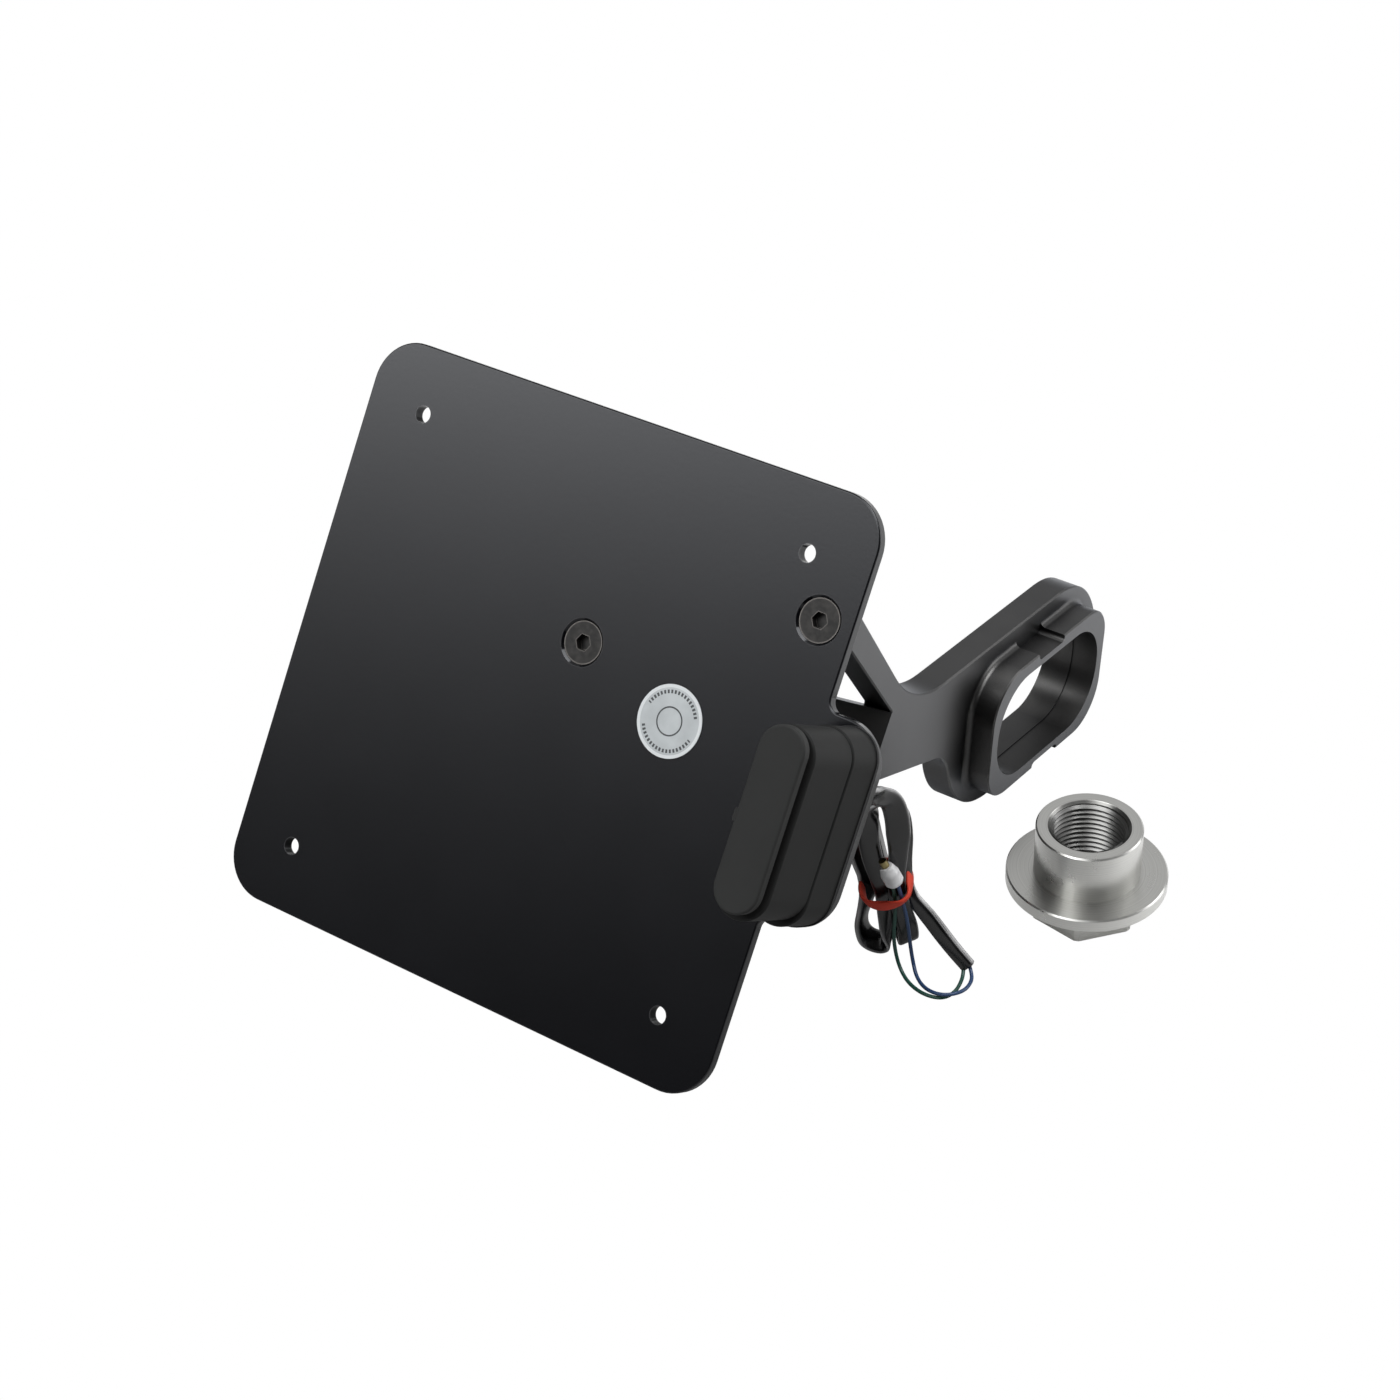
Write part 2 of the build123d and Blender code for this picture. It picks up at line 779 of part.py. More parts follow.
# Axle nut
def axle_nut():
    """Hexagon, flange and threaded barrel turned from one piece."""
    hexagon = extrude(RegularPolygon(nut_flats / 2, 6, major_radius=False, rotation=0), nut_hex_height)
    hexagon &= Cylinder(
        nut_flats / 2 / cos(radians(30)) - nut_edge, nut_hex_height, align=(Align.CENTER, Align.CENTER, Align.MIN)
    )
    flange = Cylinder(nut_flange_dia / 2, nut_flange_thick, align=(Align.CENTER, Align.CENTER, Align.MIN))
    flange = chamfer(flange.edges().filter_by(GeomType.CIRCLE), nut_edge)
    barrel = Cylinder(nut_barrel_dia / 2, nut_barrel_height, align=(Align.CENTER, Align.CENTER, Align.MIN))
    barrel = chamfer(barrel.faces().sort_by(Axis.Z)[-1].edges(), nut_edge)
    height = nut_hex_height + nut_flange_thick + nut_barrel_height
    nut = Rot(0, 0, nut_turn) * hexagon
    nut += Pos(0, 0, nut_hex_height) * flange
    nut += Pos(0, 0, nut_hex_height + nut_flange_thick) * barrel
    nut -= Cylinder(nut_bore_dia / 2, height, align=(Align.CENTER, Align.CENTER, Align.MIN))
    for flip in (0, 180):
        mouth = Cone(
            nut_bore_dia / 2 + nut_bore_chamfer, nut_bore_dia / 2, nut_bore_chamfer,
            align=(Align.CENTER, Align.CENTER, Align.MIN),
        )
        nut -= Pos(0, 0, 0 if flip == 0 else height) * Rot(flip, 0, 0) * mouth
    return Pos(*on_floor(boss_face + nut_x_offset, nut_y, 0)) * nut


holder_parts = {
    "base_plate": base_plate,
    "bracket": bracket,
    "plate_screws": plate_screws,
    "info_disc": info_disc,
    "light_gasket": light_gasket,
    "light_base": light_base,
    "light_body": light_body,
    "light_cap": light_cap,
    "plate_lens": plate_lens,
    "light_board": light_board,
    "light_leds": light_leds,
    "light_fixings": light_fixings,
    "fixing_washers": fixing_washers,
    "cable_grommet": cable_grommet,
}
floor_parts = {
    "lead": lead,
    "lead_hank": lead_hank,
    "rubber_band": rubber_band,
    "sleeve_end": sleeve_end,
    "wire_green": wire_green,
    "wire_blue": wire_blue,
    "connector_shell": connector_shell,
    "connector_terminal": connector_terminal,
    "axle_nut": axle_nut,
}


def save(name, solids, place=Location()):
    group = solids if isinstance(solids, list) else [solids]
    placed = [place * s for s in group]
    shape = placed[0] if len(placed) == 1 else Compound(children=placed)
    export_step(shape, f"parts/{name}.step")


os.makedirs("parts", exist_ok=True)
for part_name, make in holder_parts.items():
    save(part_name, make(), holder_place)
for part_name, make in floor_parts.items():
    save(part_name, make())
print("lean", round(lean, 2), "floor", round(floor_z, 3), "outlet", outlet_point())
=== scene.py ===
import math

import bpy
from bpy.props import FloatProperty, FloatVectorProperty, PointerProperty
from mathutils import Matrix, Vector


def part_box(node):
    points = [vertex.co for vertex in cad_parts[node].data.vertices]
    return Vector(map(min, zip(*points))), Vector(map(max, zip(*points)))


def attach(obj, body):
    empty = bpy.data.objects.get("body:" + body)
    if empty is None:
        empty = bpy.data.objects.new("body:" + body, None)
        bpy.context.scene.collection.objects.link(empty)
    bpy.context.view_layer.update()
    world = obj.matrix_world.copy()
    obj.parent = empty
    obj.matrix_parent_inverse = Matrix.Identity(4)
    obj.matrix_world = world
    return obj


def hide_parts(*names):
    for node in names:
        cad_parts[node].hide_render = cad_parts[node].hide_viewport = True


bl_info = {
    "name": "Plate holder looks",
    "version": (1, 0, 0),
    "blender": (4, 5, 0),
    "location": "View3D > Sidebar > Plate Holder",
    "description": "Dresses the packed side mount plate holder and sets its studio",
    "category": "Object",
}

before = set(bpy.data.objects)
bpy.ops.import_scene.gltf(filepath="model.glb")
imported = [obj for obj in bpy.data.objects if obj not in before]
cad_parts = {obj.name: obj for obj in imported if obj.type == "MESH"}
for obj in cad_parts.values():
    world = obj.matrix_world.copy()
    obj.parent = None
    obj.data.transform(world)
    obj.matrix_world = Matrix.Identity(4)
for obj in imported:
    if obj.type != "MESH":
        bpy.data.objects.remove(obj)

# The row rests leaning. In its upright frame the plate is vertical and SLOT is the middle of the
# axle slot. HANK and NUT are the feet of the folded lead and of the nut, on the floor.
LEAN = math.radians(34.38784)
FLOOR = -0.0301748
SLOT = Vector((0.1045, 0.161, 0.0443))
HANK = Vector((0.0047, -0.1173174, FLOOR))
HANK_TURN = math.radians(31.6)
NUT = Vector((0.0491, -0.0585174, FLOOR))

# Solved camera in the upright frame: its directions, and its place in millimetres
CAMERA_RIGHT = (0.81835248, 0.48821446, 0.30322575)
CAMERA_UP = (-0.32532171, -0.04143281, 0.94469524)
CAMERA_PLACE = (506.202, -826.28, 140.33)
SENSOR_WIDTH = 36

# Studio: what the softboxes aim at, their places and sizes, and the white floor with its painted
# shadow towards the front
LIGHT_AIM = (-0.08, -0.12, 0.05)
TOP_PLACE, TOP_SIZE = (0.30, 0.10, 1.40), (1.0, 1.0)
RIGHT_PLACE, RIGHT_SIZE = (1.05, 0.80, 0.36), (0.8, 0.7)
FLOOR_REACH = 4
FLOOR_GAP = 0.0002
FLOOR_DEPTH = (-0.13, -0.03)
FLOOR_PAINTED_SHADOW = (0.33, 0.82)
# Ranges of the view direction over which the room's light changes
BACK_DEPTH, BACK_RISE, FRONT_DEPTH = (-0.25, 0.55), (0.3, 0.7), (-0.25, -0.6)

# Foil disc: its middle in the upright frame in millimetres, and its print in metres
DISC_MIDDLE = (49.0, 0.0, 11.9)
TICK_RING, TICK_HALF = 0.0096, 0.0006
INNER_RING, INNER_HALF = 0.0046, 0.00026
RIM_RADIUS = 0.0109
TICK_COUNT, TICK_LEVEL, ARC_LEVEL = 46.0, -0.2, 0.35

# Nut: the wall under its thread, the thread's form and the plain stretches at its ends
BORE_WALL = 0.01318
THREAD_SIDES = 72
THREAD_FOOT, THREAD_TOP = 0.001, 0.0007
THREAD_PROFILE = ((0.0, 0.0), (0.42, 1.0), (0.58, 1.0), (1.0, 0.0))
# Radius and height over which painted shade darkens its steel into the bore and painted light
# lightens it to the hexagon
BORE_BLEND, BORE_PAINTED_SHADE = (0.0138, 0.0142), (0.45, 1.0)
HEXAGON_BLEND, HEXAGON_PAINTED_LIGHT = (0.0112, 0.0118), (1.5, 1.0)

# Strap, wires and rubber band
STRAP_SIDES = 16
WIRE_RADIUS = 0.00065
BAND_CENTRE = (0.8, 0.0, 30.6)
BAND_ROLL, BAND_PITCH = math.radians(13), math.radians(25)
BAND_TWIST = 0.35
BAND_STEPS, BAND_SIDES = 8, 12

# Faint blue of the coats' reflections
SHEEN = (0.94, 0.96, 1.0, 1)


def upright_turn(v):
    """A direction of the upright holder, brought to the row frame."""
    return Matrix.Rotation(-LEAN, 3, "X") @ Vector(v)


def from_upright(x, y, z):
    """A point of the upright holder, in millimetres, brought to the row frame."""
    return upright_turn(Vector((x, y, z)) / 1000 - SLOT)


def by_hank(p):
    """A point given from the foot of the hank, in millimetres, brought to the row frame."""
    return HANK + Matrix.Rotation(HANK_TURN, 3, "Z") @ (Vector(p) / 1000)


# Routes from the hank's foot, in millimetres. The flat lead's points also give the direction of
# its width, its width and its thickness; the rubber band is closed.
LEAD = [
    ((-10.06, -24.18, 89.03), (0.9, -0.5, 0.0), 5.0, 5.0),
    ((-6.2, -17.9, 84.0), (0.8, -0.4, 0.5), 5.6, 4.4),
    ((-2.4, -10.2, 75.6), (0.2, 0.0, 1.0), 6.8, 2.8),
    ((2.0, -5.8, 71.2), (0.5, 0.0, 0.8), 7.8, 2.6),
    ((4.0, -4.0, 63.0), (1.0, 0.1, 0.15), 8.2, 2.4),
    ((4.6, -3.3, 54.8), (1.0, 0.12, 0.0), 8.2, 2.4),
    ((4.7, -3.1, 47.5), (1.0, 0.3, 0.0), 6.8, 2.4),
    ((4.3, -3.1, 39.0), (1.0, 0.3, 0.0), 6.0, 2.4),
    ((4.2, -3.1, 30.5), (1.0, 0.1, 0.0), 6.2, 2.4),
    ((6.2, -3.0, 22.0), (1.0, 0.1, 0.1), 6.8, 2.4),
    ((8.3, -2.6, 14.5), (1.0, 0.1, 0.25), 7.0, 2.4),
    ((8.7, -1.6, 8.0), (0.9, 0.0, 0.5), 7.0, 2.4),
    ((7.8, 1.6, 5.6), (0.9, 0.0, 0.5), 7.0, 2.4),
    ((6.8, 3.6, 11.0), (0.9, 0.4, 0.2), 7.0, 2.4),
    ((5.0, 3.2, 20.0), (0.6, 0.7, 0.0), 7.0, 2.2),
    ((2.6, 1.6, 29.6), (0.3, 1.0, 0.0), 7.0, 2.0),
    ((0.0, 0.6, 40.5), (0.1, 1.0, 0.0), 7.0, 2.0),
    ((-1.9, 0.6, 50.5), (0.1, 1.0, 0.0), 7.0, 2.0),
    ((-4.0, 0.8, 59.5), (0.2, 1.0, 0.0), 7.0, 2.2),
    ((-6.2, 1.2, 65.4), (0.0, 1.0, 0.0), 7.0, 2.4),
    ((-9.4, 2.2, 62.0), (0.2, 1.0, 0.0), 7.0, 2.4),
    ((-10.4, 2.4, 53.0), (0.4, 1.0, 0.0), 7.0, 2.4),
    ((-9.4, 2.2, 43.0), (0.6, 0.9, 0.0), 7.0, 2.4),
    ((-6.9, 1.8, 35.0), (0.5, 1.0, 0.0), 7.0, 2.4),
    ((-4.6, 1.0, 28.4), (0.9, 0.6, 0.0), 7.0, 2.4),
    ((-6.2, 0.4, 20.6), (0.6, 0.8, 0.1), 7.2, 2.4),
    ((-7.6, 0.0, 14.0), (0.4, 0.8, 0.4), 7.6, 2.4),
    ((-5.9, -0.4, 7.6), (0.1, 0.75, 0.66), 8.0, 2.4),
    ((-0.4, -0.6, 5.2), (0.0, 0.75, 0.66), 8.0, 2.4),
    ((2.4, -1.0, 7.6), (0.3, 0.8, 0.5), 7.6, 2.4),
    ((2.0, -1.5, 14.0), (0.9, 0.5, 0.1), 7.2, 2.4),
    ((1.0, -2.4, 22.4), (1.0, 0.4, 0.0), 6.8, 2.4),
    ((0.4, -3.1, 29.6), (1.0, 0.2, 0.1), 6.4, 2.4),
    ((-1.4, -3.4, 36.0), (1.0, -0.1, 0.4), 6.8, 2.4),
    ((-3.8, -3.2, 44.0), (1.0, -0.1, 0.3), 7.2, 2.4),
    ((-5.4, -2.8, 53.0), (1.0, 0.0, 0.1), 7.0, 2.4),
    ((-4.9, -1.6, 61.5), (0.7, 0.6, 0.0), 7.0, 2.4),
    ((-1.4, 1.4, 65.6), (0.0, 1.0, 0.0), 7.0, 2.2),
    ((3.0, 2.2, 64.0), (0.2, 1.0, 0.0), 7.0, 2.2),
    ((6.0, 2.4, 56.8), (0.7, 0.8, 0.0), 7.0, 2.2),
    ((6.7, 2.4, 47.6), (0.85, 0.6, 0.0), 6.6, 2.2),
    ((6.4, 2.2, 38.6), (0.85, 0.6, 0.0), 6.4, 2.4),
    ((6.6, 0.8, 31.4), (0.9, 0.3, 0.4), 5.8, 2.8),
    ((9.6, -1.8, 26.2), (0.8, 0.0, 0.8), 4.6, 3.4),
    ((14.6, -3.5, 20.4), (0.7, 0.0, 0.7), 5.4, 4.0),
    ((19.5, -5.4, 13.8), (0.7, 0.0, 0.7), 5.4, 4.4),
    ((24.2, -7.0, 7.6), (0.7, 0.0, 0.7), 5.2, 4.2),
    ((28.5, -8.5, 2.8), (0.7, 0.0, 0.7), 5.0, 3.8),
]
GREEN = [
    (27.0, -7.4, 3.6), (27.0, -10.6, 1.2), (26.0, -14.8, 0.8), (24.0, -19.6, 0.8),
    (19.8, -22.8, 0.8), (13.9, -21.0, 0.8), (9.0, -15.9, 0.8), (6.1, -10.0, 1.6), (4.3, -6.9, 6.4),
    (3.5, -5.85, 13.6), (3.9, -5.85, 21.0), (4.0, -5.85, 29.4), (2.5, -8.4, 39.8),
]
BLUE = [
    (28.6, -7.6, 3.6), (29.8, -10.8, 1.5), (29.5, -14.8, 1.2), (27.2, -19.6, 1.8),
    (22.8, -22.6, 2.5), (18.2, -22.4, 2.4), (14.0, -18.2, 1.2), (11.4, -12.4, 0.8),
    (10.2, -7.6, 3.0), (9.1, -5.9, 9.6), (8.2, -5.85, 18.8), (6.3, -5.85, 28.6), (4.1, -8.4, 39.8),
]
BAND = [
    (-7.0, 0.5, 31.6), (-7.0, -3.2, 29.6), (-5.4, -6.4, 28.0), (-1.6, -7.6, 27.6),
    (2.6, -7.8, 28.2), (6.0, -7.4, 29.2), (8.2, -5.4, 30.6), (8.6, -1.6, 32.4), (8.4, 2.6, 34.2),
    (6.6, 6.0, 35.0), (2.4, 7.0, 34.4), (-2.6, 7.0, 33.4), (-6.0, 5.0, 32.0),
]


# Node helpers
def add(nodes, kind, **values):
    node = nodes.new(kind)
    for key, value in values.items():
        setattr(node, key, value)
    return node


def feed(tree, value, socket):
    """Sets a constant on a socket, or links it where the value is a socket too."""
    if isinstance(value, bpy.types.NodeSocket):
        tree.links.new(value, socket)
    else:
        socket.default_value = value


def math_node(tree, operation, *values):
    node = add(tree.nodes, "ShaderNodeMath", operation=operation)
    for i, value in enumerate(values):
        feed(tree, value, node.inputs[i])
    return node.outputs[0]


def radius_of(tree, a, b):
    """Distance from an axis, from the two coordinates across it."""
    aa = math_node(tree, "MULTIPLY", a, a)
    bb = math_node(tree, "MULTIPLY", b, b)
    return math_node(tree, "SQRT", math_node(tree, "ADD", aa, bb))


def smooth_range(tree, source, low, high, low_value, high_value):
    """A value that goes smoothly from one to the other as its source goes from low to high."""
    node = add(tree.nodes, "ShaderNodeMapRange", interpolation_type="SMOOTHSTEP")
    for i, value in enumerate((source, low, high, low_value, high_value)):
        feed(tree, value, node.inputs[i])
    return node.outputs[0]


def ramp(tree, source, low, high, low_colour, high_colour):
    node = add(tree.nodes, "ShaderNodeValToRGB")
    node.color_ramp.elements[0].position = low
    node.color_ramp.elements[1].position = high
    node.color_ramp.elements[0].color = (*low_colour, 1)
    node.color_ramp.elements[1].color = (*high_colour, 1)
    tree.links.new(source, node.inputs[0])
    return node.outputs[0]


def mix_colours(tree, factor, a, b, blend="MIX"):
    node = add(tree.nodes, "ShaderNodeMix", data_type="RGBA", blend_type=blend)
    feed(tree, factor, node.inputs[0])
    feed(tree, a, node.inputs[6])
    feed(tree, b, node.inputs[7])
    return node.outputs[2]


def split_vector(tree, vector):
    node = add(tree.nodes, "ShaderNodeSeparateXYZ")
    tree.links.new(vector, node.inputs[0])
    return node.outputs


# Shared effects
def new_group(name, inputs, outputs):
    """A shader node group with its sockets, its input node and its output node."""
    tree = bpy.data.node_groups.new(name, "ShaderNodeTree")
    for label, value in inputs.items():
        kind = "NodeSocketVector" if value is None else "NodeSocketFloat"
        socket = tree.interface.new_socket(name=label, in_out="INPUT", socket_type=kind)
        if value is not None:
            socket.default_value = value
    for label, kind in outputs.items():
        tree.interface.new_socket(name=label, in_out="OUTPUT", socket_type=kind)
    return tree, tree.nodes.new("NodeGroupInput"), tree.nodes.new("NodeGroupOutput")


def grain_group():
    """Fine surface grain: a slow mottling and a bumped normal."""
    name = "surface_grain"
    if name in bpy.data.node_groups:
        return bpy.data.node_groups[name]
    inputs = {"Vector": None, "Scale": 900.0, "Slow scale": 30.0, "Bump": 0.2, "Reach": 0.0002}
    outputs = {"Mottle": "NodeSocketFloat", "Normal": "NodeSocketVector"}
    tree, given, out = new_group(name, inputs, outputs)
    fine = add(tree.nodes, "ShaderNodeTexNoise")
    fine.inputs["Detail"].default_value = 3
    slow = add(tree.nodes, "ShaderNodeTexNoise")
    slow.inputs["Detail"].default_value = 4
    bump = add(tree.nodes, "ShaderNodeBump")
    link = tree.links.new
    link(given.outputs["Vector"], fine.inputs["Vector"])
    link(given.outputs["Vector"], slow.inputs["Vector"])
    link(given.outputs["Scale"], fine.inputs["Scale"])
    link(given.outputs["Slow scale"], slow.inputs["Scale"])
    link(given.outputs["Bump"], bump.inputs["Strength"])
    link(given.outputs["Reach"], bump.inputs["Distance"])
    link(fine.outputs[0], bump.inputs["Height"])
    link(slow.outputs[0], out.inputs["Mottle"])
    link(bump.outputs[0], out.inputs["Normal"])
    return tree


def edge_highlight_group():
    """Mask of edges for a painted highlight, from the rounded normal against the flat one."""
    name = "edge_mask"
    if name in bpy.data.node_groups:
        return bpy.data.node_groups[name]
    tree, given, out = new_group(name, {"Radius": 0.0005}, {"Mask": "NodeSocketFloat"})
    bevel = add(tree.nodes, "ShaderNodeBevel", samples=6)
    geometry = add(tree.nodes, "ShaderNodeNewGeometry")
    dot = add(tree.nodes, "ShaderNodeVectorMath", operation="DOT_PRODUCT")
    link = tree.links.new
    link(given.outputs["Radius"], bevel.inputs["Radius"])
    link(bevel.outputs[0], dot.inputs[0])
    link(geometry.outputs["Normal"], dot.inputs[1])
    mask = math_node(tree, "SUBTRACT", 1.0, dot.outputs["Value"])
    mask = math_node(tree, "MULTIPLY", mask, 6.0)
    link(math_node(tree, "MINIMUM", mask, 1.0), out.inputs["Mask"])
    return tree


def turned_group():
    """Lathe lines round an axis: a height over the radius and a bumped normal."""
    name = "turned_lines"
    if name in bpy.data.node_groups:
        return bpy.data.node_groups[name]
    outputs = {"Height": "NodeSocketFloat", "Normal": "NodeSocketVector"}
    tree, given, out = new_group(name, {"Vector": None, "Lines": 4200.0, "Bump": 0.2}, outputs)
    x, y, z = split_vector(tree, given.outputs["Vector"])
    along = math_node(tree, "ADD", radius_of(tree, x, y), math_node(tree, "MULTIPLY", z, 1.3))
    noise = add(tree.nodes, "ShaderNodeTexNoise", noise_dimensions="1D")
    noise.inputs["Scale"].default_value = 1.0
    noise.inputs["Detail"].default_value = 1
    bump = add(tree.nodes, "ShaderNodeBump")
    bump.inputs["Distance"].default_value = 0.00005
    link = tree.links.new
    link(math_node(tree, "MULTIPLY", along, given.outputs["Lines"]), noise.inputs["W"])
    link(given.outputs["Bump"], bump.inputs["Strength"])
    link(noise.outputs[0], bump.inputs["Height"])
    link(noise.outputs[0], out.inputs["Height"])
    link(bump.outputs[0], out.inputs["Normal"])
    return tree


def group_node(tree, group, **values):
    node = add(tree.nodes, "ShaderNodeGroup", node_tree=group)
    for key, value in values.items():
        feed(tree, value, node.inputs[key.replace("_", " ")])
    return node


# Materials
def blank(name):
    """A material with its node tree, its shader and its object coordinates."""
    material = bpy.data.materials.new(name)
    material.use_nodes = True
    tree = material.node_tree
    shader = tree.nodes["Principled BSDF"]
    coords = add(tree.nodes, "ShaderNodeTexCoord")
    return material, tree, shader, coords.outputs["Object"]


def coated(name, dark, light, rough, scale, bump, reach=0.0002, spec=0.5, edge=0.0004,
           edge_highlight_colour=None, spread=0.08, slow=30.0, metallic=0.0):
    """A coat or moulded skin with grain, slow mottling and a painted highlight on its rounded
    edges.
    """
    material, tree, shader, vector = blank(name)
    grain = group_node(tree, grain_group(), Vector=vector, Scale=scale, Slow_scale=slow,
                       Bump=bump, Reach=reach)
    mottle = grain.outputs["Mottle"]
    colour = ramp(tree, mottle, 0.35, 0.65, dark, light)
    # Painted highlight: the edge colour is mixed in along the rounded edges.
    if edge_highlight_colour:
        edges = group_node(tree, edge_highlight_group(), Radius=edge)
        colour = mix_colours(tree, edges.outputs["Mask"], colour, (*edge_highlight_colour, 1))
    tree.links.new(colour, shader.inputs["Base Color"])
    roughness = math_node(tree, "MULTIPLY_ADD", mottle, spread, rough - spread / 2)
    tree.links.new(roughness, shader.inputs["Roughness"])
    tree.links.new(grain.outputs["Normal"], shader.inputs["Normal"])
    shader.inputs["Specular IOR Level"].default_value = spec
    shader.inputs["Specular Tint"].default_value = SHEEN
    shader.inputs["Metallic"].default_value = metallic
    return material


def plate_paint(dark, light):
    """Fine-textured black coat with painted highlights on its edges and painted shade on its
    reflection inside its holes.
    """
    material = coated("plate_paint", dark, light, 0.13, 1000, 0.09, 0.00008, edge=0.0005,
                      edge_highlight_colour=(0.08, 0.08, 0.084), spread=0.03)
    tree = material.node_tree
    # Painted shade: the coat's reflection is turned down where occlusion finds holes.
    holes = add(tree.nodes, "ShaderNodeAmbientOcclusion", samples=6)
    holes.inputs["Distance"].default_value = 0.005
    level = smooth_range(tree, holes.outputs["AO"], 0.55, 0.95, 0.0, 0.5)
    tree.links.new(level, tree.nodes["Principled BSDF"].inputs["Specular IOR Level"])
    return material


def bracket_anodised(dark, light):
    """Dark blasted metal with painted highlights on its edges, and painted shade darkening it where
    its walls shade one another.
    """
    material = coated("bracket_anodised", dark, light, 0.38, 3200, 0.14, 0.00006,
                      edge_highlight_colour=(0.17, 0.17, 0.17), spec=0.4, slow=45.0, metallic=1.0)
    tree = material.node_tree
    colour = tree.nodes["Principled BSDF"].inputs["Base Color"]
    # Painted shade: occlusion darkens the colour where walls face one another.
    corners = add(tree.nodes, "ShaderNodeAmbientOcclusion", samples=6)
    corners.inputs["Distance"].default_value = 0.045
    shade = smooth_range(tree, corners.outputs["AO"], 0.30, 0.90, 0.28, 1.0)
    plain_colour = colour.links[0].from_socket
    tree.links.new(mix_colours(tree, 1.0, plain_colour, shade, "MULTIPLY"), colour)
    return material


def black_oxide():
    # The edge colour is a painted highlight on the screws' edges.
    return coated("black_oxide", (0.018, 0.0173, 0.0165), (0.036, 0.034, 0.032), 0.40, 2400, 0.3,
                  0.00006, edge=0.0006, edge_highlight_colour=(0.16, 0.15, 0.14), metallic=0.6, slow=400.0)


def light_plastic(name, shade):
    # The edge colour is a painted highlight on the rounded edges.
    return coated(name, (shade, shade * 1.02, shade), (shade * 1.2, shade * 1.22, shade * 1.2),
                  0.50, 2600, 0.20, 0.00006, edge_highlight_colour=(0.036, 0.036, 0.036), spec=0.08)


def rubber(name, dark, light):
    return coated(name, dark, light, 0.62, 1800, 0.25, 0.00008, spec=0.35)


def lead_skin():
    """Shiny soft sleeve, with a painted highlight along its two folds."""
    material, tree, shader, vector = blank("lead_skin")
    grain = group_node(tree, grain_group(), Vector=vector, Scale=120.0, Slow_scale=110.0,
                       Bump=0.22, Reach=0.0003)
    mottle = grain.outputs["Mottle"]
    colour = ramp(tree, mottle, 0.35, 0.65, (0.003, 0.003, 0.0035), (0.008, 0.008, 0.009))
    # Painted highlight along the folds, broken up by the mottle.
    fold = add(tree.nodes, "ShaderNodeAttribute", attribute_name="fold")
    painted_fold_highlight = math_node(tree, "MULTIPLY", fold.outputs["Fac"], mottle)
    painted_fold_highlight = math_node(tree, "MULTIPLY", painted_fold_highlight, 1.9)
    colour = mix_colours(tree, painted_fold_highlight, colour, (0.58, 0.58, 0.59, 1))
    tree.links.new(colour, shader.inputs["Base Color"])
    roughness = math_node(tree, "MULTIPLY_ADD", mottle, 0.16, 0.14)
    tree.links.new(roughness, shader.inputs["Roughness"])
    tree.links.new(grain.outputs["Normal"], shader.inputs["Normal"])
    shader.inputs["Specular IOR Level"].default_value = 0.7
    return material


def wire_skin(name, colour):
    return coated(name, tuple(c * 0.8 for c in colour), colour, 0.32, 500, 0.04, 0.00005, slow=60.0)


def clear_plastic():
    """Clear moulded window."""
    material, tree, shader, vector = blank("lens_clear")
    grain = group_node(tree, grain_group(), Vector=vector, Scale=700.0, Bump=0.1, Reach=0.00005)
    tree.links.new(grain.outputs["Normal"], shader.inputs["Normal"])
    shader.inputs["Base Color"].default_value = (0.94, 0.95, 0.95, 1)
    shader.inputs["Roughness"].default_value = 0.08
    shader.inputs["IOR"].default_value = 1.49
    shader.inputs["Transmission Weight"].default_value = 0.9
    return material


def connector_skin():
    """Soft white plastic that lets a little light in."""
    material, tree, shader, vector = blank("connector_white")
    grain = group_node(tree, grain_group(), Vector=vector, Scale=500.0, Slow_scale=260.0, Bump=0.3,
                       Reach=0.0001)
    colour = ramp(tree, grain.outputs["Mottle"], 0.3, 0.7, (0.56, 0.56, 0.57), (0.80, 0.80, 0.81))
    tree.links.new(colour, shader.inputs["Base Color"])
    tree.links.new(grain.outputs["Normal"], shader.inputs["Normal"])
    shader.inputs["Roughness"].default_value = 0.38
    shader.inputs["Subsurface Weight"].default_value = 0.15
    shader.inputs["Subsurface Radius"].default_value = (0.001, 0.001, 0.001)
    return material


def brass():
    return coated("terminal_brass", (0.16, 0.13, 0.06), (0.30, 0.25, 0.12), 0.3, 900, 0.2, 0.00005,
                  metallic=1.0, slow=400.0)


def fixing_steel():
    return coated("fixing_steel", (0.36, 0.36, 0.35), (0.50, 0.50, 0.49), 0.3, 1200, 0.15, 0.00004,
                  metallic=1.0, slow=200.0)


def turned_steel(name, dark, light):
    """Bright turned steel of the nut, with painted shade in its bore and painted light on its
    hexagon.
    """
    material, tree, shader, vector = blank(name)
    move = add(tree.nodes, "ShaderNodeMapping")
    move.inputs["Location"].default_value = (-NUT.x, -NUT.y, -NUT.z)
    tree.links.new(vector, move.inputs["Vector"])
    lines = group_node(tree, turned_group(), Vector=move.outputs[0], Lines=2200.0, Bump=0.08)
    grain = group_node(tree, grain_group(), Vector=vector, Scale=260.0, Slow_scale=60.0, Bump=0.05)
    colour = ramp(tree, lines.outputs["Height"], 0.25, 0.75, dark, light)
    x, y, z = split_vector(tree, move.outputs[0])
    # Painted shade in the bore and painted light on the hexagon
    bore = smooth_range(tree, radius_of(tree, x, y), *BORE_BLEND, *BORE_PAINTED_SHADE)
    hexagon = smooth_range(tree, z, *HEXAGON_BLEND, *HEXAGON_PAINTED_LIGHT)
    shade = math_node(tree, "MULTIPLY", bore, hexagon)
    colour = mix_colours(tree, 1.0, colour, shade, "MULTIPLY")
    tree.links.new(colour, shader.inputs["Base Color"])
    roughness = math_node(tree, "MULTIPLY_ADD", grain.outputs["Mottle"], 0.14, 0.22)
    tree.links.new(roughness, shader.inputs["Roughness"])
    tree.links.new(lines.outputs["Normal"], shader.inputs["Normal"])
    shader.inputs["Metallic"].default_value = 1.0
    return material


